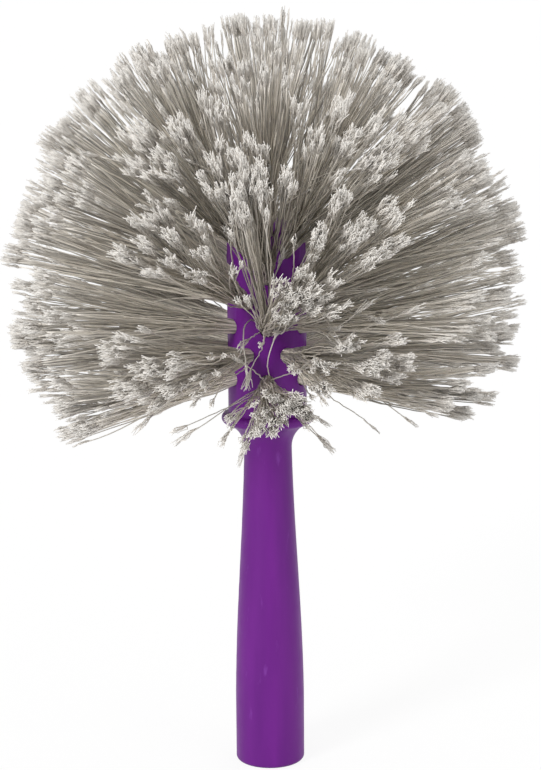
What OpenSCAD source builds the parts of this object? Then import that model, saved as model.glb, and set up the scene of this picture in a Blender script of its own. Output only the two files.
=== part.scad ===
// Cobweb brush head: a one-piece moulding (pole socket, collar and tuft block) with bristle tufts
// wired into drilled holes. Millimetres. The origin is the centre of the socket's mouth and +Z runs
// up through the bristles. Azimuth 0 is the front, -Y, and grows towards +X.

/* [Pole socket] */
// Outside diameter of the socket at its mouth
mouth_d = 34.2; // [33:0.1:36]
// Diameter of the bore that takes the pole
pole_bore_d = 25.4; // [24:0.1:26]
// Depth of the straight part of the bore
pole_bore_depth = 70; // [50:1:75]
// Outside diameter at the neck, below the collar
neck_d = 23.5; // [23:0.1:25]

/* [Collar and tuft block] */
// Diameter over the collar's rounded rim
collar_d = 45.2; // [44:0.1:50]
// Height of the middle of the collar's rim above the mouth
collar_z = 176.5; // [175:0.5:178]
// Diameter of the block that holds the tufts
block_d = 38.4; // [38:0.1:39]
// Height of the block's domed end above the mouth
block_top_z = 275; // [274:0.5:276]

/* [Tufts] */
// Height of the lowest ring of tuft holes above the mouth
first_ring_z = 197.5; // [197:0.5:199]
// Distance between rings of tuft holes
ring_pitch = 12.8; // [12.6:0.1:12.9]
// Diameter of a tuft hole
hole_d = 7.2; // [7:0.1:7.6]
// Depth of a tuft hole along its axis
hole_depth = 10; // [9:0.5:10]

/* [Bristles] */
// Strands drawn in each tuft
strands_per_tuft = 10; // [7:1:11]
// Radius of the ball that the bristles are trimmed to
trim_r = 126; // [110:1:135]
// Height of that ball's centre above the mouth
trim_z = 246; // [240:1:250]
// Thickness of a strand where it leaves the block
root_d = 0.9; // [0.7:0.1:1]
// Thickness of a strand along its length
strand_d = 2.1; // [0.9:0.1:2.2]
// Width of a strand's feathered tip
tip_d = 5.4; // [1.8:0.1:5.8]

/* [Hidden] */
$fn = 72;

// The socket's outside swells from the neck to a straight skirt at the mouth.
skirt_z = 36;
neck_z = 160;
mouth_edge_r = 2.2;
side_steps = 14;

// Above its straight part the bore tapers to a plain end, so that the wall stays even.
taper_top_d = 15;
taper_top_z = 152;

// The underside of the collar sweeps out from the neck like a trumpet and runs into the rim.
sweep_r = 13;
rim_r = 2.6;
rim_centre_r = collar_d / 2 - rim_r;
sweep_centre_r = neck_d / 2 + sweep_r;
sweep_z = collar_z - sqrt(pow(sweep_r + rim_r, 2) - pow(sweep_centre_r - rim_centre_r, 2));

// The block's end is a cap of a ball that is a little wider than the block.
cap_r = 21.4;
cap_z = block_top_z - cap_r;

// Six tufts to a ring: rings 1 to 6 are on the block's straight side, 7 on its shoulder, 8 on top.
per_ring = 6;
shoulder_ring = 7;
crown_ring = 8;

// Elevation of each ring's tufts above level, and how far a tuft spreads up and down from it.
ring_tilt = [-7, 2, 10, 19, 28, 39, 58, 90];
ring_spread = [9, 9, 9.5, 9.5, 10.5, 12, 14, 18];
// Elevation on the cap of the shoulder ring's holes.
shoulder_site = 48;

// Share of the way to its neighbour that a tuft spreads along the ring.
ring_share = 0.6;
// How far from the hole's axis the outermost strand is rooted.
root_reach = 2.9;
// How far the packed root stands out of its hole, and how deep a strand runs into it.
root_proud = 0.4;
strand_bed = 1.6;
// Share of a strand's length where its bend is set, and where its rings of points lie.
bend_share = 0.35;
stations = [0, 0.4, 0.87, 1];

// A tuft is folded over a flat wire that bites into the hole's wall near its bottom.
wire_size = [9.0, 2.0, 0.45];
wire_height = 2.2;

// Single tufts that lean away from their ring's direction, and spread less than the rest:
// ring, azimuth, lean along, lean up, share of the usual spread.
leaning = [
    [1, 0, 3, 9, 0.8],
    [3, 0, 8, 8, 0.7],
    [5, 0, -5, 7, 0.7],
    [7, 0, -4, 0, 1],
    [2, 30, -10, 5, 0.75],
    [2, 330, 3, 3, 0.9],
    [4, 30, -9, 8, 0.7],
    [4, 330, 7, 5, 0.8],
    [1, 60, -4, 8, 0.8],
    [1, 120, 0, 5, 0.85]
];

function front_start(ring) = ring % 2 == 1 ? 0 : 360 / per_ring / 2;
function azimuths(ring) = [for (i = [0 : per_ring - 1]) front_start(ring) + i * 360 / per_ring];

// Every tuft as [ring, azimuth].
tufts = concat(
    [for (ring = [1 : shoulder_ring]) for (a = azimuths(ring)) [ring, a]],
    [[crown_ring, 0]]
);

side_names = [
    "front", "front_right", "right_front", "right", "right_back", "back_right",
    "back", "back_left", "left_back", "left", "left_front", "front_left"
];
function tuft_name(t) = t[0] == crown_ring
    ? "tuft_crown"
    : str("tuft_ring", t[0], "_", side_names[round(t[1] / 30) % 12]);

// Unit vectors of a tuft: outwards at its azimuth, along the ring, and its own axis.
function outwards(a) = [sin(a), -cos(a), 0];
function along_ring(a) = [cos(a), sin(a), 0];
function aim(a, tilt) = cos(tilt) * outwards(a) + [0, 0, sin(tilt)];
function unit(v) = v / norm(v);

// Where a tuft's hole opens.
function hole_mouth(t) = t[0] == crown_ring
    ? [0, 0, block_top_z]
    : t[0] == shoulder_ring
    ? [0, 0, cap_z] + cap_r * aim(t[1], shoulder_site)
    : block_d / 2 * outwards(t[1]) + [0, 0, first_ring_z + (t[0] - 1) * ring_pitch];
function hole_tilt(t) = ring_tilt[t[0] - 1];

// Half spreads of a tuft, as angles along the ring and across it.
function spread_across(t) = ring_spread[t[0] - 1];
function spread_along(t) = t[0] == crown_ring
    ? spread_across(t)
    : ring_share * asin(cos(hole_tilt(t)) * sin(180 / per_ring));

function lean_of(t) = [for (l = leaning) if (l[0] == t[0] && l[1] == t[1]) [l[2], l[3], l[4]]];
function lean(t) = concat(lean_of(t), [[0, 0, 1]])[0];

// Distance from a point, along a unit vector, to the ball that the bristles are trimmed to.
function reach(p, v) =
    let (q = p - [0, 0, trim_z], b = q * v)
    -b + sqrt(b * b - q * q + trim_r * trim_r);

// Strand i of n spirals out from the tuft's middle: [share of the radius, angle].
golden_angle = 137.508;
function spiral(i, n) = [sqrt((i + 0.5) / n), i * golden_angle];

// A strand's line: rooted beside the hole's axis, it leaves along the axis and bends to its tip.
function strand_line(t, i) =
    let (
        s = spiral(i, strands_per_tuft),
        axis = aim(t[1], hole_tilt(t)),
        side = along_ring(t[1]),
        rise = cross(axis, side),
        l = lean(t),
        root = hole_mouth(t) + root_reach * s[0] * (cos(s[1]) * side + sin(s[1]) * rise),
        v = unit(
            axis
            + tan(l[0] + l[2] * spread_along(t) * s[0] * cos(s[1])) * side
            + tan(l[1] + l[2] * spread_across(t) * s[0] * sin(s[1])) * rise
        ),
        far = reach(root, v),
        start = root - (strand_bed - root_proud) * axis,
        bend = root + bend_share * far * axis,
        tip = root + far * v
    )
    [for (f = stations) pow(1 - f, 2) * start + 2 * f * (1 - f) * bend + f * f * tip];

module socket_outline() {
    neck_r = neck_d / 2;
    mouth_r = mouth_d / 2;
    translate([mouth_r - mouth_edge_r, mouth_edge_r])
        circle(r = mouth_edge_r);
    square([mouth_r - mouth_edge_r, 2 * mouth_edge_r]);
    polygon(concat(
        [[0, mouth_edge_r], [mouth_r, mouth_edge_r]],
        [for (i = [0 : side_steps])
            let (u = i / side_steps, ease = (u + (1 - cos(180 * u)) / 2) / 2)
            [mouth_r + (neck_r - mouth_r) * pow(ease, 1.1), skirt_z + (neck_z - skirt_z) * u]],
        [[neck_r, sweep_z + 1], [0, sweep_z + 1]]
    ));
}

module collar_outline() {
    difference() {
        polygon([[0, sweep_z], [sweep_centre_r, sweep_z], [rim_centre_r, collar_z], [0, collar_z]]);
        translate([sweep_centre_r, sweep_z])
            circle(r = sweep_r);
    }
    translate([rim_centre_r, collar_z])
        circle(r = rim_r);
    translate([0, collar_z - 1])
        square([rim_centre_r, rim_r + 1]);
}

module block_outline() {
    intersection() {
        translate([0, collar_z])
            square([block_d / 2, block_top_z + 1 - collar_z]);
        union() {
            translate([0, collar_z])
                square([block_d / 2, cap_z - collar_z]);
            translate([0, cap_z])
                circle(r = cap_r);
        }
    }
}

module pole_bore() {
    translate([0, 0, -1])
        cylinder(d = pole_bore_d, h = pole_bore_depth + 1);
    translate([0, 0, pole_bore_depth - 0.01])
        cylinder(d1 = pole_bore_d, d2 = taper_top_d, h = taper_top_z - pole_bore_depth);
}

// Puts its children at a tuft's hole: +Z out along the hole's axis, +X along the ring.
module at_hole(t) {
    translate(hole_mouth(t))
        rotate([0, 0, t[1]])
            rotate([90 - hole_tilt(t), 0, 0])
                children();
}

module anchor_wire(t) {
    at_hole(t)
        translate([0, 0, wire_height - hole_depth])
            rotate([90, 0, 0])
                cube([wire_size[0], wire_size[1], wire_size[2]], center = true);
}

module brush_moulding() {
    color("#6B2B8C")
        difference() {
            rotate_extrude() {
                socket_outline();
                collar_outline();
                block_outline();
            }
            pole_bore();
            for (t = tufts) {
                at_hole(t)
                    translate([0, 0, -hole_depth])
                        cylinder(d = hole_d, h = hole_depth + 8);
                anchor_wire(t);
            }
        }
}

module anchor_wires() {
    color("#B9BCC0")
        for (t = tufts)
            anchor_wire(t);
}

// One strand: a three-sided rod that widens into its feathered tip.
module strand(t, i) {
    sides = 3;
    line = strand_line(t, i);
    axis = aim(t[1], hole_tilt(t));
    side = along_ring(t[1]);
    rise = cross(axis, side);
    radii = [root_d / 2, strand_d / 2, strand_d / 2, tip_d / 2];
    last = len(line) - 1;
    points = [for (k = [0 : last]) for (j = [0 : sides - 1])
        let (a = 360 * j / sides + i * golden_angle)
        line[k] + radii[k] * (cos(a) * side + sin(a) * rise)];
    walls = [for (k = [0 : last - 1]) for (j = [0 : sides - 1])
        let (
            a = k * sides + j,
            b = k * sides + (j + 1) % sides,
            c = a + sides,
            d = b + sides
        )
        each [[a, c, b], [b, c, d]]];
    polyhedron(points, concat([[0, 1, 2]], walls, [[last * sides + 2, last * sides + 1, last * sides]]));
}

module tuft(t) {
    color("#A39B8E")
        difference() {
            union() {
                at_hole(t)
                    translate([0, 0, -hole_depth])
                        cylinder(d = hole_d, h = hole_depth + root_proud);
                for (i = [0 : strands_per_tuft - 1])
                    strand(t, i);
            }
            anchor_wire(t);
        }
}

brush_moulding();
anchor_wires();
for (t = tufts)
    tuft(t);
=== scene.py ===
# %% [markdown]
# A cobweb brush is a ball of crimped plastic fibres on a one-piece socket that pushes onto a pole.
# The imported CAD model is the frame: it already has the moulding, the anchor wires and plain tufts.
# This lesson loads it, gives the moulding and the wires their finish, and then makes the fibres
# that stand for the plain tufts. Blender's unit is the metre, and the socket's mouth is the origin.

# %% Load the frame
import math

import bmesh
import bpy
import numpy as np
from mathutils import Matrix, Vector


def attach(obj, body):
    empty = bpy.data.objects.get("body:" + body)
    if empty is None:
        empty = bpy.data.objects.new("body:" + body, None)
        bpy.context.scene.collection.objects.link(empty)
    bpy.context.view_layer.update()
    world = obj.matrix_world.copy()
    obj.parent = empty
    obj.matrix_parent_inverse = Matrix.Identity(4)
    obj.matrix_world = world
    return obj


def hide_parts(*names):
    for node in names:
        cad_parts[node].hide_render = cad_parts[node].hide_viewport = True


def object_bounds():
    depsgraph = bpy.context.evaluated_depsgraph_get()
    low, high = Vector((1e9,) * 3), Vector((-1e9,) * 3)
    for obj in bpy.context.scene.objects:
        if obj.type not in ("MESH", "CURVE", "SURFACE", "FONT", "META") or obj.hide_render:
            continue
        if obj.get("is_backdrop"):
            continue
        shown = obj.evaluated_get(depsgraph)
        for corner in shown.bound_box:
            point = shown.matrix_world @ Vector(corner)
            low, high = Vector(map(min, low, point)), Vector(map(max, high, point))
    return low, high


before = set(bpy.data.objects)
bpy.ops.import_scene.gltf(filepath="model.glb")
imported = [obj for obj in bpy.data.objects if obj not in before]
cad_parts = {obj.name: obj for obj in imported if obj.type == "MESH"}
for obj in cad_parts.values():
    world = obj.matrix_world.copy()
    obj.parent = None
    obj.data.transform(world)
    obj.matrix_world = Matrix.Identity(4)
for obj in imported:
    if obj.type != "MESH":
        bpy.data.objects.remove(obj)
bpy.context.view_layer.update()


def corners():
    return [list(corner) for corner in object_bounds()]


scene = bpy.context.scene
scene.view_settings.view_transform = "Standard"

# %% [markdown]
# The camera comes first, because every later choice is judged through it. The brush was seen
# from a little above, 12 degrees, and from about 1.1 metres, which shows in how much wider the
# socket's mouth looks than its neck. A long lens keeps that perspective gentle. The brush leans
# by half a degree in the picture, so the camera is rolled by that much, and a small shift sets
# the brush where it stood in the picture without turning the camera.

# %% Camera
IMAGE_WIDTH = 541
IMAGE_HEIGHT = 770
SENSOR_HEIGHT = 24
LOOK_AT = Vector((0, 0, 0.186))
DISTANCE = 1.1
ELEVATION = math.radians(12)
ROLL = math.radians(0.47)
FOCAL_PIXELS = 2249
MIDDLE_IN_PICTURE = (267.55, 397.66)

camera = bpy.data.objects.new("camera", bpy.data.cameras.new("camera"))
scene.collection.objects.link(camera)
scene.camera = camera
camera.data.sensor_fit = "VERTICAL"
camera.data.sensor_height = SENSOR_HEIGHT
camera.data.lens = SENSOR_HEIGHT * FOCAL_PIXELS / IMAGE_HEIGHT
camera.data.shift_x = (IMAGE_WIDTH / 2 - MIDDLE_IN_PICTURE[0]) / IMAGE_HEIGHT
camera.data.shift_y = (MIDDLE_IN_PICTURE[1] - IMAGE_HEIGHT / 2) / IMAGE_HEIGHT
camera.location = LOOK_AT + DISTANCE * Vector((0, -math.cos(ELEVATION), math.sin(ELEVATION)))
turn = Matrix.Rotation(math.pi / 2 - ELEVATION, 3, "X") @ Matrix.Rotation(-ROLL, 3, "Z")
camera.rotation_euler = turn.to_euler()
print("camera at", tuple(round(c, 3) for c in camera.location), "lens", round(camera.data.lens, 1))

# %% [markdown]
# Materials are small trees of nodes. The first helper clears a tree, and the next one adds a
# node, sets its values by name and joins its inputs to other nodes. Colours are written as they
# are read off a screen, and turned into the linear numbers that shaders use.

# %% Helpers for node trees


def new_tree(owner):
    owner.use_nodes = True
    owner.node_tree.nodes.clear()
    return owner.node_tree


def add(tree, kind, values=None, links=None, **settings):
    """Adds a node. values are numbers for its inputs, links are outputs joined to its inputs."""
    node = tree.nodes.new(kind)
    for name, value in settings.items():
        setattr(node, name, value)
    for name, value in (values or {}).items():
        node.inputs[name].default_value = value
    for name, output in (links or {}).items():
        tree.links.new(output, node.inputs[name])
    return node


def from_srgb(red, green, blue):
    """Turns a colour read off a screen, 0 to 255, into linear shares of 1."""
    shares = [c / 255 for c in (red, green, blue)]
    return [s / 12.92 if s <= 0.04045 else ((s + 0.055) / 1.055) ** 2.4 for s in shares] + [1]


def grey(level):
    return [level, level, level, 1]


print("mid grey on a screen is", round(from_srgb(128, 128, 128)[0], 3), "of the light")

# %% [markdown]
# Most surfaces here vary by noise, which a colour ramp turns into two or more colours. Where
# the coordinates are squeezed along an axis, the noise is drawn out into streaks. A mix node
# has its colour inputs at fixed numbers, so a helper hides them.

# %% Helpers for patterns
MIX_SHARE, MIX_FIRST, MIX_SECOND, MIX_RESULT = 0, 6, 7, 2


def ramp(tree, factor, stops):
    """A colour ramp with stops of (place, colour)."""
    node = add(tree, "ShaderNodeValToRGB", links={"Fac": factor})
    elements = node.color_ramp.elements
    elements[0].position, elements[1].position = stops[0][0], stops[-1][0]
    elements[0].color, elements[1].color = stops[0][1], stops[-1][1]
    for place, colour in stops[1:-1]:
        elements.new(place).color = colour
    return node.outputs["Color"]


def noise(tree, at, scale, detail=3, stretch=(1, 1, 1)):
    """Noise over the coordinates, which are first multiplied by stretch. 0 to 1."""
    squeezed = add(tree, "ShaderNodeMapping", {"Scale": stretch}, {"Vector": at})
    values = {"Scale": scale, "Detail": detail, "Roughness": 0.5}
    return add(tree, "ShaderNodeTexNoise", values, {"Vector": squeezed.outputs[0]}).outputs["Fac"]


def product(tree, first, second):
    """Multiplies an output by a number or by another output."""
    node = add(tree, "ShaderNodeMath", links={0: first}, operation="MULTIPLY")
    if isinstance(second, float):
        node.inputs[1].default_value = second
    else:
        tree.links.new(second, node.inputs[1])
    return node.outputs[0]


def mixed(tree, share, first, second=None):
    """Mixes two colours. second may be left out and set on the returned node."""
    node = add(tree, "ShaderNodeMix", data_type="RGBA")
    tree.links.new(share, node.inputs[MIX_SHARE])
    tree.links.new(first, node.inputs[MIX_FIRST])
    if second is not None:
        tree.links.new(second, node.inputs[MIX_SECOND])
    return node


def object_place(tree):
    return add(tree, "ShaderNodeTexCoord").outputs["Object"]


print("a mix node's colours are its inputs", MIX_FIRST, "and", MIX_SECOND)

# %% [markdown]
# The picture was taken in soft light from the front left, on plain white. Area lamps could
# stand for the studio's, but they light a floor unevenly. Suns light every part of it alike, so
# the white has no edge, and their wide discs keep the shadows soft. The key sun comes from the
# front left, a weaker fill from the front right, and one from behind, so that the back isn't
# dark and the tips at the ball's edge stay pale. The world fills the rest. Rays from the camera,
# and reflections, see it as plain white, while diffuse light gets a lower strength, so the
# colours stay as written.

# %% Lamps and world
WORLD_FILL = 0.62


def sun(name, azimuth, height, strength, disc):
    """A sun that shines from an azimuth, 0 for the front, at a height, all in degrees."""
    lamp = bpy.data.lights.new(name, "SUN")
    lamp.energy = strength
    lamp.angle = math.radians(disc)
    holder = bpy.data.objects.new(name, lamp)
    scene.collection.objects.link(holder)
    holder.rotation_euler = (math.radians(90 - height), 0, math.radians(azimuth))


def seen_directly(tree):
    """1 for rays from the camera and for reflected and transmitted rays, else 0."""
    path = add(tree, "ShaderNodeLightPath").outputs
    either = add(tree, "ShaderNodeMath", links={0: path["Is Camera Ray"]}, operation="MAXIMUM")
    tree.links.new(path["Is Glossy Ray"], either.inputs[1])
    any_of = add(tree, "ShaderNodeMath", links={0: either.outputs[0]}, operation="MAXIMUM")
    tree.links.new(path["Is Transmission Ray"], any_of.inputs[1])
    return any_of.outputs[0]


sun("key_light", azimuth=-40, height=26, strength=2.2, disc=18)
sun("fill_light", azimuth=50, height=14, strength=0.9, disc=60)
sun("back_light", azimuth=150, height=30, strength=0.9, disc=60)

world = bpy.data.worlds.new("studio")
scene.world = world
tree = new_tree(world)
level = add(tree, "ShaderNodeMix", {"A": WORLD_FILL, "B": 1.0}, {"Factor": seen_directly(tree)})
background = add(tree, "ShaderNodeBackground", {"Color": grey(1)}, {"Strength": level.outputs[0]})
add(tree, "ShaderNodeOutputWorld", links={"Surface": background.outputs[0]})

# %% [markdown]
# The floor is a very wide disc. It renders a little grey, and more light would make it white
# but the brush too pale. So rays from the camera and reflections see mostly plain white there
# too. The remaining share is a real pale surface, and it keeps the soft shadow under the brush.

# %% Floor
FLOOR_RADIUS = 40
FLOOR_COLOUR = grey(0.9)
WHITE_SHARE = 0.88

disc = bmesh.new()
bmesh.ops.create_circle(disc, cap_ends=True, segments=64, radius=FLOOR_RADIUS)
floor_mesh = bpy.data.meshes.new("floor")
disc.to_mesh(floor_mesh)
disc.free()
floor = bpy.data.objects.new("floor", floor_mesh)
scene.collection.objects.link(floor)

floor_finish = bpy.data.materials.new("pale_floor")
tree = new_tree(floor_finish)
surface = add(tree, "ShaderNodeBsdfDiffuse", {"Color": FLOOR_COLOUR})
white = add(tree, "ShaderNodeEmission", {"Color": grey(1), "Strength": 1})
white_share = product(tree, seen_directly(tree), WHITE_SHARE)
floor_mix = add(tree, "ShaderNodeMixShader", links={0: white_share, 1: surface.outputs[0]})
tree.links.new(white.outputs[0], floor_mix.inputs[2])
add(tree, "ShaderNodeOutputMaterial", links={"Surface": floor_mix.outputs[0]})
floor_mesh.materials.append(floor_finish)
floor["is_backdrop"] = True
print("floor radius", FLOOR_RADIUS, "m")

# %% [markdown]
# The handle is satin plastic, coloured right through. Its colour is almost even: the melt
# flowed along the mould, which leaves faint streaks up and down of a slightly deeper purple,
# and use has left a few paler rub marks. The surface is satin because the mould was not
# polished, so a fine grain goes into the bump, with shallow dents at a larger scale. A picture
# of plastic could be wrapped round it, but that shows a seam. Noise over Object coordinates has
# none, and it stays put from every side.

# %% Moulded plastic
PURPLE = from_srgb(99, 24, 122)
DEEP_PURPLE = from_srgb(89, 19, 112)
RUBBED_PURPLE = from_srgb(128, 66, 158)
RUB_STRENGTH = 0.4

plastic = bpy.data.materials.new("purple_plastic")
tree = new_tree(plastic)
place = object_place(tree)
flow = noise(tree, place, 110, detail=4, stretch=(1, 1, 0.12))
streaked = ramp(tree, flow, [(0.3, DEEP_PURPLE), (0.7, PURPLE)])
scuffs = noise(tree, place, 240, detail=5, stretch=(1, 1, 0.3))
rubbed = ramp(tree, scuffs, [(0.64, grey(0)), (0.76, grey(1))])
colour = mixed(tree, product(tree, rubbed, RUB_STRENGTH), streaked)
colour.inputs[MIX_SECOND].default_value = RUBBED_PURPLE
gloss = ramp(tree, noise(tree, place, 120, detail=5), [(0.3, grey(0.4)), (0.7, grey(0.5))])
shader = add(tree, "ShaderNodeBsdfPrincipled", {"Specular IOR Level": 0.19})
tree.links.new(colour.outputs[MIX_RESULT], shader.inputs["Base Color"])
tree.links.new(gloss, shader.inputs["Roughness"])
add(tree, "ShaderNodeOutputMaterial", links={"Surface": shader.outputs[0]})
print("plastic has", len(tree.nodes), "nodes so far")

# %% [markdown]
# The two bumps are chained: the dents bend the normal that the grain has already bent. Then the
# CAD moulding gets the material. Its shape is right, so nothing else about it changes.

# %% Grain and dents
grain = noise(tree, place, 2600, detail=2)
dents = noise(tree, place, 160, detail=3, stretch=(1, 1, 0.5))
grain_bump = add(tree, "ShaderNodeBump", {"Strength": 0.12, "Distance": 0.0001}, {"Height": grain})
dent_bump = add(tree, "ShaderNodeBump", {"Strength": 0.2, "Distance": 0.0004}, {"Height": dents})
tree.links.new(grain_bump.outputs[0], dent_bump.inputs["Normal"])
tree.links.new(dent_bump.outputs[0], shader.inputs["Normal"])

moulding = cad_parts["brush_moulding"]
moulding.data.materials.clear()
moulding.data.materials.append(plastic)
print("moulding has", len(moulding.data.polygons), "faces")

# %% [markdown]
# Each tuft is folded over a short flat wire that bites into the hole's wall. The wires sit deep
# in the holes, so they get a plain drawn-steel finish: fine lines in its colour and roughness.

# %% Anchor wires
steel = bpy.data.materials.new("drawn_steel")
tree = new_tree(steel)
lines = noise(tree, object_place(tree), 900, detail=4, stretch=(1, 1, 0.1))
tint = ramp(tree, lines, [(0.3, from_srgb(168, 170, 173)), (0.7, from_srgb(200, 202, 205))])
dullness = ramp(tree, lines, [(0.3, grey(0.25)), (0.7, grey(0.4))])
shader = add(tree, "ShaderNodeBsdfPrincipled", {"Metallic": 1.0}, {"Base Color": tint})
tree.links.new(dullness, shader.inputs["Roughness"])
add(tree, "ShaderNodeOutputMaterial", links={"Surface": shader.outputs[0]})

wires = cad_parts["anchor_wires"]
wires.data.materials.clear()
wires.data.materials.append(steel)
print("wires have", len(wires.data.polygons), "faces")

# %% [markdown]
# The fibres are crimped plastic. Along its shaft a fibre is a warm grey, and its end is split
# into fine hairs that look almost white. Both colours are written pale, and a tone between
# dark and light is multiplied in, so that each fibre differs from the next. A few materials
# could be dealt out to the fibres, but one that reads a UV map gives every fibre a tone of its
# own: U runs along the fibre, and V picks its tone. The lower half of V holds the shafts and
# the upper half holds the hairs. Fine streaks along each fibre vary it by a tenth.

# %% Fibre
# Along the shaft the colour is a little lighter at the root and towards the split end. This is
# painted light: it offsets the shade near the block and lightens the edge of the ball.
SHAFT_STOPS = [
    (0.0, from_srgb(250, 242, 226)),
    (0.3, from_srgb(247, 239, 224)),
    (0.8, from_srgb(242, 234, 221)),
    (1.0, from_srgb(246, 240, 231)),
]
HAIR_STOPS = [
    (0.0, from_srgb(242, 234, 223)),
    (0.3, from_srgb(251, 245, 237)),
    (1.0, from_srgb(252, 248, 242)),
]
# Darkest to lightest shaft, then darkest to lightest hair.
TONES = [(0.02, grey(0.3)), (0.48, grey(1.0)), (0.52, grey(0.52)), (0.98, grey(0.95))]
STREAKS = {"From Min": 0.3, "From Max": 0.7, "To Min": 0.88, "To Max": 1.0}

fibre = bpy.data.materials.new("crimped_fibre")
tree = new_tree(fibre)
strip = add(tree, "ShaderNodeUVMap", uv_map="OFBake").outputs["UV"]
along, shade = add(tree, "ShaderNodeSeparateXYZ", links={"Vector": strip}).outputs[:2]
is_hair = add(tree, "ShaderNodeMath", {1: 0.5}, {0: shade}, operation="GREATER_THAN").outputs[0]
either = mixed(tree, is_hair, ramp(tree, along, SHAFT_STOPS), ramp(tree, along, HAIR_STOPS))
streaks = noise(tree, strip, 1, detail=2, stretch=(9, 60, 1))
level = add(tree, "ShaderNodeMapRange", STREAKS, {"Value": streaks}).outputs[0]
tone = product(tree, ramp(tree, shade, TONES), level)
shaded = add(tree, "ShaderNodeVectorMath", links={0: either.outputs[MIX_RESULT]}, operation="SCALE")
tree.links.new(tone, shaded.inputs["Scale"])
shader = add(tree, "ShaderNodeBsdfPrincipled", {"Roughness": 0.38, "Specular IOR Level": 0.5})
tree.links.new(shaded.outputs[0], shader.inputs["Base Color"])
add(tree, "ShaderNodeOutputMaterial", links={"Surface": shader.outputs[0]})
print("fibre material has", len(tree.nodes), "nodes")

# %% [markdown]
# Where the tufts go is repeated from the CAD source, in millimetres as there. Six rings of six
# holes are on the block's straight side, a seventh is on its shoulder, all turned by half a
# step from one to the next, and one hole is on top. Ten tufts, most of them at the front, were
# pushed aside in use and lean by a few degrees, in the CAD as here. One more lean is in the
# scene only: the lowest tuft at the left front is turned up by three degrees.

# %% Places of the tufts
BLOCK_RADIUS = 19.2
BLOCK_TOP = 275
FIRST_RING = 197.5
RING_PITCH = 12.8
PER_RING = 6
SHOULDER_RING = 7
CROWN_RING = 8
CAP_RADIUS = 21.4
CAP_MIDDLE = BLOCK_TOP - CAP_RADIUS
SHOULDER_SITE = 48
RING_TILT = [-7, 2, 10, 19, 28, 39, 58, 90]
RING_SPREAD = [9, 9, 9.5, 9.5, 10.5, 12, 14, 18]
RING_SHARE = 0.6
# The sine of half the angle from one tuft of a ring to the next.
HALF_STEP_SINE = 0.5
# Ring and azimuth: lean along the ring and up, in degrees, and the share of the usual spread.
LEANING = {
    (1, 0): (3, 9, 0.8), (3, 0): (8, 8, 0.7), (5, 0): (-5, 7, 0.7), (7, 0): (-4, 0, 1),
    (2, 30): (-10, 5, 0.75), (2, 330): (3, 3, 0.9), (4, 30): (-9, 8, 0.7), (4, 330): (7, 5, 0.8),
    (1, 60): (-4, 8, 0.8), (1, 120): (0, 5, 0.85), (1, 300): (0, 3, 1),
}
SIDE_NAMES = [
    "front", "front_right", "right_front", "right", "right_back", "back_right",
    "back", "back_left", "left_back", "left", "left_front", "front_left",
]


def outwards(azimuth):
    a = math.radians(azimuth)
    return np.array([math.sin(a), -math.cos(a), 0])


def along_ring(azimuth):
    a = math.radians(azimuth)
    return np.array([math.cos(a), math.sin(a), 0])


def aim(azimuth, tilt):
    t = math.radians(tilt)
    return math.cos(t) * outwards(azimuth) + np.array([0, 0, math.sin(t)])


print("a level tuft at the right points to", aim(90, 0).round(2))

# %% [markdown]
# A small class keeps what belongs to one tuft. Its three directions are its axis, the side along its
# ring, and the rise across it. The tufts at the front of rings 1 to 6 are the frayed ones: their
# split ends were opened up by use. Their hairs are also drawn paler, which is painted light on the
# lit front.

# %% The tufts


class Tuft:
    """One tuft: where its hole opens, its own three directions, its lean and its spread."""

    def __init__(self, ring, azimuth):
        self.ring, self.azimuth = ring, azimuth
        self.key = (ring, azimuth)
        tilt = RING_TILT[ring - 1]
        self.axis = aim(azimuth, tilt)
        self.side = along_ring(azimuth)
        self.rise = np.cross(self.axis, self.side)
        self.lean = LEANING.get(self.key, (0, 0, 1))
        # The frayed tufts are at the front. Later their hairs get paler tones, as painted light.
        self.frayed_and_lit = azimuth in (0, 30, 330) and ring < SHOULDER_RING
        self.across = RING_SPREAD[ring - 1] * self.lean[2]
        self.along = math.degrees(math.asin(math.cos(math.radians(tilt)) * HALF_STEP_SINE))
        self.along *= RING_SHARE * self.lean[2]
        self.mouth = BLOCK_RADIUS * outwards(azimuth)
        self.mouth = self.mouth + np.array([0, 0, FIRST_RING + (ring - 1) * RING_PITCH])
        self.place = f"ring{ring}_{SIDE_NAMES[round(azimuth / 30) % 12]}"
        if ring == SHOULDER_RING:
            self.mouth = np.array([0, 0, CAP_MIDDLE]) + CAP_RADIUS * aim(azimuth, SHOULDER_SITE)
        if ring == CROWN_RING:
            self.along = self.across
            self.mouth = np.array([0, 0, BLOCK_TOP])
            self.place = "crown"


tufts = [
    Tuft(ring, (0 if ring % 2 else 30) + 60 * i)
    for ring in range(1, CROWN_RING)
    for i in range(PER_RING)
] + [Tuft(CROWN_RING, 0)]
print(len(tufts), "tufts, the first at", tufts[0].mouth.round(1), "mm")

# %% [markdown]
# Blender can grow hair on a surface, but the brush needs every fibre as a closed solid with its
# root in a hole. So the fibres are worked out as lines of points, all those of a tuft at once. A
# packed tuft fills a round hole, so its fibres start on a spiral of golden-angle steps, which
# fills a disc evenly. At the tip every fibre has a place in the tuft too, in shares of the
# tuft's spread. Most fibres keep to the tuft and some stand out round it as a halo, but three
# front tufts were pressed together and have most of theirs near one point. Split tips catch on
# each other, so each place is then drawn most of the way to the nearest of a few gathering
# points. That leaves the gaps that show between clumps.

# %% Places of the fibres in a tuft
FIBRES = 130
GOLDEN_ANGLE = math.radians(137.508)
# How strongly fibres keep to the middle: low and high rings.
USUAL_POWERS = (0.4, 0.1)
LOW_RINGS = 5
# Pressed tufts: power, and the point that they crowd round, along the ring and up.
CROWDED = {(1, 0): (3.2, 0.3, 0.5), (3, 0): (2.2, 0.05, 0), (5, 0): (0.8, 0, 0)}
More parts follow.
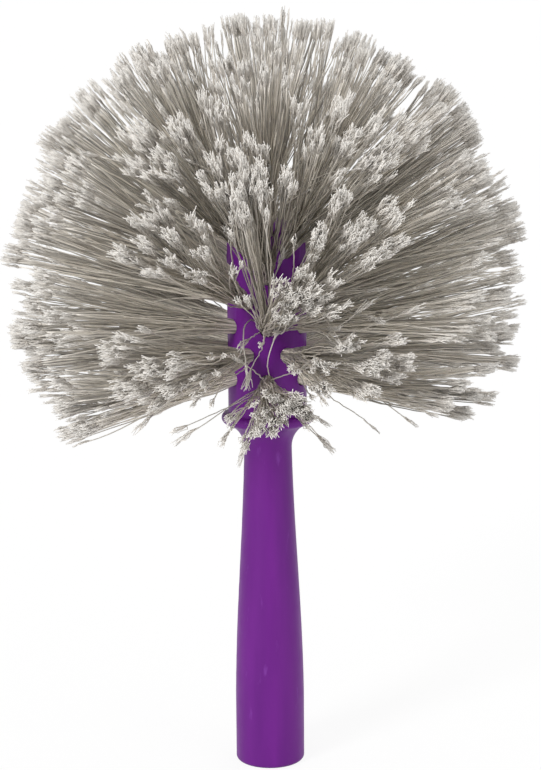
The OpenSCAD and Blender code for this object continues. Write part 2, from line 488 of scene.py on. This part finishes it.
# Share of the fibres that stand out as a halo, by ring, and how far out they stand.
HALO = {5: 0.3, 6: 0.3, 7: 0.45, 8: 0.45}
USUAL_HALO = 0.2
HALO_REACH = 1.6
SCATTER = 0.14
# Number of gathering points, and how far fibres are drawn to them.
USUAL_CLUMPS = (11, 0.85)
CLUMPS = {
    (1, 0): (18, 1.05), (3, 0): (16, 0.85),
    (1, 60): (8, 1), (2, 90): (8, 1), (3, 60): (8, 1),
}

order = np.arange(FIBRES)
out = np.sqrt((order + 0.5) / FIBRES)
turned = order * GOLDEN_ANGLE
disc_places = np.stack([out * np.cos(turned), out * np.sin(turned)], 1)


def drawn_together(offsets, rng, clumps, pull):
    """Moves each fibre's place in the tuft part of the way to its nearest gathering point."""
    chosen = offsets[rng.choice(len(offsets), clumps, replace=False)]
    gaps = np.linalg.norm(offsets[:, None] - chosen[None], axis=2)
    clump = gaps.argmin(1)
    share = pull * rng.uniform(0.5, 1.0, (len(offsets), 1))
    return offsets + share * (chosen[clump] - offsets), clump


def tip_places(tuft, rng):
    """Each fibre's place at the tip, in shares of the spread, and the number of its clump."""
    if tuft.key in CROWDED:
        power, *middle = CROWDED[tuft.key]
        packed = disc_places * out[:, None] ** power + (1 - out[:, None]) * middle
    else:
        power = USUAL_POWERS[tuft.ring > LOW_RINGS]
        packed = disc_places * out[:, None] ** power
        packed[rng.random(FIBRES) < HALO.get(tuft.ring, USUAL_HALO)] *= HALO_REACH
    packed = packed + rng.normal(0, SCATTER, disc_places.shape)
    return drawn_together(packed, rng, *CLUMPS.get(tuft.key, USUAL_CLUMPS))


print(FIBRES, "fibres in a tuft, the outermost at", disc_places[-1].round(2))

# %% [markdown]
# The place at the tip says which way a fibre points: it is turned away from the tuft's axis,
# along the ring and across it. At two front tufts a part of the fibres has sprung out of the
# tuft in another direction, and in every tuft a few are loose, up to 30 degrees off its axis.

# %% Directions of the fibres
# Sprung fibres: lean along the ring and up, in degrees, and their share of the tuft.
SPRUNG = {(3, 0): (-6, 30, 0.22), (1, 0): (-5, 2, 0.15)}
SPRUNG_SPREAD = 7
# Share of loose fibres, by ring, and how far they are turned at most, in degrees.
LOOSE = {7: 0.14, 8: 0.18}
USUAL_LOOSE = 0.02
LOOSE_TURN = 30


def unit(vectors):
    return vectors / np.linalg.norm(vectors, axis=-1, keepdims=True)


def directions(tuft, gathered, rng):
    """A unit vector for each fibre, and which of them are loose."""
    turns = np.array(tuft.lean[:2]) + np.array([tuft.along, tuft.across]) * gathered
    if tuft.key in SPRUNG:
        lean_along, lean_up, share = SPRUNG[tuft.key]
        sprung = rng.random(FIBRES) < share
        turns[sprung] = np.array([lean_along, lean_up]) + SPRUNG_SPREAD * gathered[sprung]
    loose = rng.random(FIBRES) < LOOSE.get(tuft.ring, USUAL_LOOSE)
    turns[loose] = rng.uniform(-LOOSE_TURN, LOOSE_TURN, (loose.sum(), 2))
    turn_along, turn_across = np.radians(turns[:, :1]), np.radians(turns[:, 1:])
    heading = tuft.axis + np.tan(turn_along) * tuft.side + np.tan(turn_across) * tuft.rise
    return unit(heading), loose


print("the first tuft leans by", tufts[0].lean[:2], "degrees along its ring and up")

# %% [markdown]
# The brush was trimmed to a ball, so a fibre's length is the way from its root to that ball,
# less its split end. Use has made the ends uneven. Each clump is a little longer or shorter
# than the next, and so is each fibre in it, more so in the frayed tufts. Seven in a hundred are
# much shorter, and the loose ones end anywhere in the outer half of the ball.

# %% Lengths of the fibres
TRIM_RADIUS = 126
TRIM_MIDDLE = np.array([0, 0, 246])
# For plain and for frayed tufts: length of the split end, and how uneven the fibres are.
SPLIT_LENGTHS = {False: 7.0, True: 11.0}
UNEVEN = {False: 0.8, True: 3.0}
CLUMP_TRIM = (-1.0, 2.2)
MOST_PROUD = 2.0
SHORT_SHARE = 0.07
SHORT_TRIM = (-18, -4)
LOOSE_LENGTHS = (0.45, 0.95)


def reach(points, headings):
    """Distance from each point, along its unit direction, to the trimmed ball."""
    q = points - TRIM_MIDDLE
    b = (q * headings).sum(-1)
    return -b + np.sqrt(b * b - (q * q).sum(-1) + TRIM_RADIUS**2)


def shaft_lengths(tuft, root, direction, clump, loose, rng):
    """Each shaft's length from the hole's mouth to its split end, as a column."""
    clumps = CLUMPS.get(tuft.key, USUAL_CLUMPS)[0]
    short = rng.random(FIBRES) < SHORT_SHARE
    even = rng.normal(*CLUMP_TRIM, clumps)[clump] - abs(rng.normal(0, UNEVEN[tuft.frayed_and_lit], FIBRES))
    trim = np.where(short, rng.uniform(*SHORT_TRIM, FIBRES), even)
    full = reach(root, direction) + np.minimum(trim, MOST_PROUD)
    length = (full - SPLIT_LENGTHS[tuft.frayed_and_lit])[:, None]
    length[loose] *= rng.uniform(*LOOSE_LENGTHS, (loose.sum(), 1))
    return length


print("the first hole is", reach(tufts[0].mouth, tufts[0].axis).round(1), "mm from the ball")

# %% [markdown]
# A fibre isn't straight. The crimp that was pressed into it is a zigzag of a few tenths of a
# millimetre, which dies away towards the tip, and on top of it comes a slow wander. A bump in
# the material could hint at them, but they show in the fibre's outline, so the line's own points
# are moved. Both start a little above the hole, where the tuft is no longer packed.

# %% Crimp
SHAFT_POINTS = 20
CRIMP_DEPTHS = (0.2, 0.6)
CRIMP_FADE = 0.7
CRIMP_STEP = 2.7
WANDERS = (0.4, 1.8)
WANDER_WAVES = 1.3
FREE_FROM, FREE_OVER = 0.05, 0.12


def crimp(tuft, rng, gone, depth):
    """Sideways moves of the points of each fibre, from its depth of crimp."""
    count = len(depth)
    turn = rng.uniform(0, 2 * math.pi, (count, 2))
    phase = rng.uniform(0, 2 * math.pi, (count, 1))
    size = rng.uniform(*WANDERS, (count, 1))
    free = np.clip((gone - FREE_FROM) / FREE_OVER, 0, 1)
    wander = size * free * np.sin(phase + 2 * math.pi * WANDER_WAVES * gone)
    steps = CRIMP_STEP * np.arange(SHAFT_POINTS)
    zigzag = depth * free * (1 - CRIMP_FADE * gone) * np.sin(phase + steps)
    moves = np.zeros((count, SHAFT_POINTS, 3))
    for amount, angle in ((wander, turn[:, 0]), (zigzag, turn[:, 1])):
        way = np.cos(angle)[:, None] * tuft.side + np.sin(angle)[:, None] * tuft.rise
        moves += amount[:, :, None] * way[:, None]
    return moves


print("crimp of", CRIMP_DEPTHS, "mm at the", SHAFT_POINTS, "points of each shaft")

# %% [markdown]
# Single fibres were bent right out of four tufts at the front, and they cross in front of the
# block. Each is one smooth curve that starts in the hole and ends at its last point, while the
# points between pull it their way. The points are written in millimetres from the hole: to the
# right, outwards and up.

# %% Stray fibres
ROOT_DEPTH = 6.0
STRAYS = {
    (1, 0): [
        [(-4, 30, 2), (-13, 40, -6)],
        [(-8, 36, 2), (-35, 50, -12)],
        [(6, 30, 2), (20, 40, -8)],
        [(-2, 30, 8), (-12, 45, 19)],
        [(0, 15, 10), (3, 30, 27)],
    ],
    (1, 60): [
        [(0, 25, 4), (2, 56, -14)],
        [(0, 25, 6), (6, 62, -11)],
    ],
    (3, 0): [
        [(0, 8, 10), (0, 15, 20), (6, 30, 36)],
        [(6, 20, 10), (20, 40, 10), (28, 45, 2)],
        [(-6, 14, 2), (-10, 22, -2)],
        [(-8, 20, 18), (-14, 30, 6), (-10, 36, -10)],
    ],
    (5, 0): [
        [(0, 12, 0), (-10, 24, 10), (-20, 28, 14), (-17, 36, 24)],
        [(2, 14, -6), (8, 30, 4), (14, 44, 2)],
    ],
}


def stray_lines(tuft, gone):
    """Points of the tuft's stray fibres. gone is each point's share of the way."""
    rows = []
    for way in STRAYS.get(tuft.key, []):
        points = [(0, -ROOT_DEPTH, 0), (0, 3, 0)] + way
        degree = len(points) - 1
        share = gone[:, None]
        line = np.zeros((len(gone), 3))
        for k, (right, forward, up) in enumerate(points):
            pull = right * tuft.side + forward * outwards(tuft.azimuth) + np.array([0, 0, up])
            line += math.comb(degree, k) * share**k * (1 - share) ** (degree - k) * pull
        rows.append(tuft.mouth + line)
    return np.array(rows).reshape(-1, len(gone), 3)


print(sum(len(ways) for ways in STRAYS.values()), "stray fibres")

# %% [markdown]
# Now a fibre's line can be put together. It starts inside the hole, leaves along the tuft's
# axis and bends outwards to its tip: a quadratic curve does that with three points, and the
# middle one lies on the axis. The points are set closer near the root, where the bend is. The
# equation for f, the curve's own number for a point, puts each point where its share of the
# way is gone, wherever the bend lies. Neighbours keep their order, so they spread and don't
# cross.

# %% Lines of the fibres
ROOT_REACH = 2.95
BEND_SHARES = (0.05, 0.32)
ROOT_CROWDING = 1.5


def fibre_lines(tuft, rng):
    """Points of every shaft in the tuft, as an array of fibre, point and coordinate."""
    root = tuft.mouth + ROOT_REACH * (
        disc_places[:, :1] * tuft.side + disc_places[:, 1:] * tuft.rise
    )
    gathered, clump = tip_places(tuft, rng)
    direction, loose = directions(tuft, gathered, rng)
    length = shaft_lengths(tuft, root, direction, clump, loose, rng)
    bend_share = rng.uniform(*BEND_SHARES, (FIBRES, 1))
    start = root - ROOT_DEPTH * tuft.axis
    bend = root + bend_share * length * tuft.axis
    tip = root + length * direction
    gone = np.linspace(0, 1, SHAFT_POINTS) ** ROOT_CROWDING
    first = 2 * bend_share
    f = (np.sqrt(first**2 + 4 * (1 - first) * gone) - first) / (2 * (1 - first))
    f = f[:, :, None]
    line = (1 - f) ** 2 * start[:, None] + 2 * f * (1 - f) * bend[:, None] + f * f * tip[:, None]
    lines = np.concatenate([line, stray_lines(tuft, gone)])
    depth = rng.uniform(*CRIMP_DEPTHS, (len(lines), 1))
    depth[FIBRES:] = CRIMP_DEPTHS[1]
    return lines + crimp(tuft, rng, gone, depth)


print("a shaft has", SHAFT_POINTS, "points, the first", ROOT_DEPTH, "mm down its hole")

# %% [markdown]
# The split end of a fibre is a bundle of ten fine hairs. They leave the last few millimetres of
# the shaft, run on along it and part sideways, each with a small kink. On the frayed tufts they
# are longer and part further.

# %% Lines of the split hairs
HAIRS = 10
HAIR_STATIONS = (0, 0.3, 0.65, 1)
FLARES = {False: (0.25, 0.8), True: (0.6, 1.6)}
KINKS = {False: 0.3, True: 0.55}
HAIR_STARTS = (-0.45, 0.0)
HAIR_ENDS = (0.65, 1.1)
FLARE_POWER = 0.7


def hair_lines(tuft, shafts, rng):
    """Points of every hair, as an array of hair, point and coordinate."""
    end = np.repeat(shafts[:, -1], HAIRS, 0)
    way = np.repeat(unit(shafts[:, -1] - shafts[:, -4]), HAIRS, 0)
    count = len(end)
    flare = np.repeat(rng.uniform(*FLARES[tuft.frayed_and_lit], len(shafts)), HAIRS)
    angle = rng.uniform(0, 2 * math.pi, count)
    part = flare * np.sqrt(rng.random(count))
    sideways = (
        np.cos(angle)[:, None] * tuft.side + np.sin(angle)[:, None] * tuft.rise
    ) * part[:, None]
    split = SPLIT_LENGTHS[tuft.frayed_and_lit]
    begin = split * rng.uniform(*HAIR_STARTS, count)
    length = split * rng.uniform(*HAIR_ENDS, count)
    lines = np.zeros((count, len(HAIR_STATIONS), 3))
    for k, share in enumerate(HAIR_STATIONS):
        kink = rng.normal(0, KINKS[tuft.frayed_and_lit] * (k > 0), (count, 3))
        gone = begin + share * (length - begin)
        lines[:, k] = end + gone[:, None] * way + share**FLARE_POWER * sideways + kink
    return lines


print(FIBRES * HAIRS, "hairs in a tuft")

# %% [markdown]
# Each line could be swept into a tube by hand, but a curve's bevel does it in one step. A small
# triangle is the cross-section, which is enough for something less than a millimetre thick,
# and each point's radius thins the fibre. One curve object can hold all the lines of a tuft as
# splines.

# %% From lines to splines
MM = 0.001
SIDES = 3
triangle = bpy.data.curves.new("fibre_section", "CURVE")
section = triangle.splines.new("POLY")
section.points.add(SIDES - 1)
for k in range(SIDES):
    a = 2 * math.pi * k / SIDES
    section.points[k].co = (math.cos(a) * MM, -math.sin(a) * MM, 0, 1)
section.use_cyclic_u = True
section_object = bpy.data.objects.new("fibre_section", triangle)
scene.collection.objects.link(section_object)


def add_splines(curve, lines, radii):
    """One spline for each line, with a radius in millimetres for each of its points."""
    count, points = lines.shape[:2]
    places = np.ones((count, points, 4), np.float32)
    places[:, :, :3] = lines * MM
    for line, radius in zip(places, radii.astype(np.float32)):
        spline = curve.splines.new("POLY")
        spline.points.add(points - 1)
        spline.points.foreach_set("co", line.ravel())
        spline.points.foreach_set("radius", radius)
        spline.use_smooth = True


print("cross-section with", len(section.points), "corners")

# %% [markdown]
# The curve's own UV map has U along each fibre and V round it. The material wants V to be the
# fibre's tone, so V is squeezed into a narrow strip at that tone. The faces of the end caps come
# first in the mesh, two to a fibre and the last fibre first, and get a small patch of their own
# at the root's or the tip's end of the strip. The caps also come with corners of their own, so
# these are merged with the walls, which makes every fibre and hair a closed solid.

# %% UV strips and closed ends
STRIP_WIDTH = 0.012
STRIP_MARGIN = 0.01
CAP_LENGTH = 0.03
MERGE_WITHIN = 1e-7


def map_strips(mesh, rings, shades):
    """Lays each fibre's UVs into its strip. rings counts the points of each fibre's line."""
    caps = np.repeat(np.arange(len(rings))[::-1], 2)
    walls = np.repeat(np.arange(len(rings)), (rings - 1) * SIDES)
    layer = mesh.uv_layers[0]
    layer.name = "OFBake"
    uv = np.zeros((len(mesh.loops), 2), np.float32)
    layer.data.foreach_get("uv", uv.ravel())
    totals = np.zeros(len(mesh.polygons), int)
    mesh.polygons.foreach_get("loop_total", totals)
    shade = np.repeat(shades[np.concatenate([caps, walls])], totals)
    on_cap = np.arange(len(uv)) < len(caps) * SIDES
    at_tip = np.arange(len(uv)) // SIDES % 2 == 0
    cap_from = np.where(at_tip, 1 - CAP_LENGTH, 0.0)
    along = np.where(on_cap, cap_from + CAP_LENGTH * (uv[:, 0] == 0.5), uv[:, 0])
    around = np.where(on_cap, uv[:, 0], uv[:, 1])
    u = STRIP_MARGIN + (1 - 2 * STRIP_MARGIN) * along
    uv = np.stack([u, shade + STRIP_WIDTH * around], 1).astype(np.float32)
    layer.data.foreach_set("uv", uv.ravel())


def close_ends(mesh):
    work = bmesh.new()
    work.from_mesh(mesh)
    bmesh.ops.remove_doubles(work, verts=work.verts, dist=MERGE_WITHIN)
    work.to_mesh(mesh)
    work.free()


print("a strip is", STRIP_WIDTH, "of the UV square high")

# %% [markdown]
# A tuft's piece is made from its curve. Shafts are about 0.7 mm thick and hairs 0.3 to 0.5 mm.
# The hairs of the frayed tufts are the thicker ones, because they were opened up. They also get
# paler tones, which is painted light: these tufts face the front, where the key lamp falls. Every
# shaft and hair draws its own tone, and most are near the light end.

# %% From splines to a mesh
SHAFT_RADII = (0.38, 0.31)
SHAFT_GIRTHS = (0.9, 1.1)
HAIR_TAPER = np.array([0.92, 1.0, 1.0, 0.85])
# For plain and for frayed tufts: a hair's radius, and the two numbers of the tones' spread. The
# frayed tufts are at the front, and their paler tones are painted light.
HAIR_RADII = {False: (0.14, 0.22), True: (0.18, 0.27)}
HAIR_TONES_AND_PAINTED_LIGHT = {False: (2.0, 1.1), True: (3.0, 0.8)}
SHAFT_TONES = (1.1, 0.7)
# Where in V the strips of the shafts and of the hairs start, and how far they range.
SHAFT_STRIPS, HAIR_STRIPS, STRIPS_RANGE = 0.02, 0.52, 0.44


def solid(name, shafts, hairs, frayed_and_lit, rng):
    """Makes the mesh object of a tuft from its lines."""
    curve = bpy.data.curves.new(name, "CURVE")
    curve.dimensions = "3D"
    curve.bevel_mode = "OBJECT"
    curve.bevel_object = section_object
    curve.use_fill_caps = True
    girth = rng.uniform(*SHAFT_GIRTHS, (len(shafts), 1))
    add_splines(curve, shafts, np.linspace(*SHAFT_RADII, shafts.shape[1]) * girth)
    add_splines(curve, hairs, rng.uniform(*HAIR_RADII[frayed_and_lit], (len(hairs), 1)) * HAIR_TAPER)
    holder = bpy.data.objects.new(name + "_lines", curve)
    scene.collection.objects.link(holder)
    bpy.context.view_layer.update()
    depsgraph = bpy.context.evaluated_depsgraph_get()
    mesh = bpy.data.meshes.new_from_object(holder.evaluated_get(depsgraph))
    bpy.data.objects.remove(holder)
    bpy.data.curves.remove(curve)
    mesh.name = name
    # The hairs of the frayed tufts at the front draw paler tones: painted light.
    shades = [
        SHAFT_STRIPS + STRIPS_RANGE * rng.beta(*SHAFT_TONES, len(shafts)),
        HAIR_STRIPS + STRIPS_RANGE * rng.beta(*HAIR_TONES_AND_PAINTED_LIGHT[frayed_and_lit], len(hairs)),
    ]
    rings = [np.full(len(lines), lines.shape[1]) for lines in (shafts, hairs)]
    map_strips(mesh, np.concatenate(rings), np.concatenate(shades))
    close_ends(mesh)
    mesh.materials.clear()
    mesh.materials.append(fibre)
    piece = bpy.data.objects.new(name, mesh)
    scene.collection.objects.link(piece)
    return piece


print("shafts taper from", 2 * SHAFT_RADII[0], "to", 2 * SHAFT_RADII[1], "mm")

# %% [markdown]
# Now every tuft is made in turn, from its own seed, so that a change to one leaves the rest
# alone. Each stands for the CAD tuft at its hole and rides on the brush's one body.

# %% Make the tufts
FIRST_SEED = 1000
triangles = 0
for number, tuft in enumerate(tufts):
    rng = np.random.default_rng(FIRST_SEED + number)
    shafts = fibre_lines(tuft, rng)
    hairs = hair_lines(tuft, shafts, rng)
    piece = solid("fibres_" + tuft.place, shafts, hairs, tuft.frayed_and_lit, rng)
    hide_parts("tuft_" + tuft.place)
    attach(piece, "root")
    triangles += sum(len(p.vertices) - 2 for p in piece.data.polygons)
bpy.data.objects.remove(section_object)
print(len(tufts), "tufts with", triangles, "triangles")

# %% [markdown]
# The dressed model is meant to stay the size of the CAD model, and its box is printed.

# %% Size of the dressed model
print("visual box", corners())
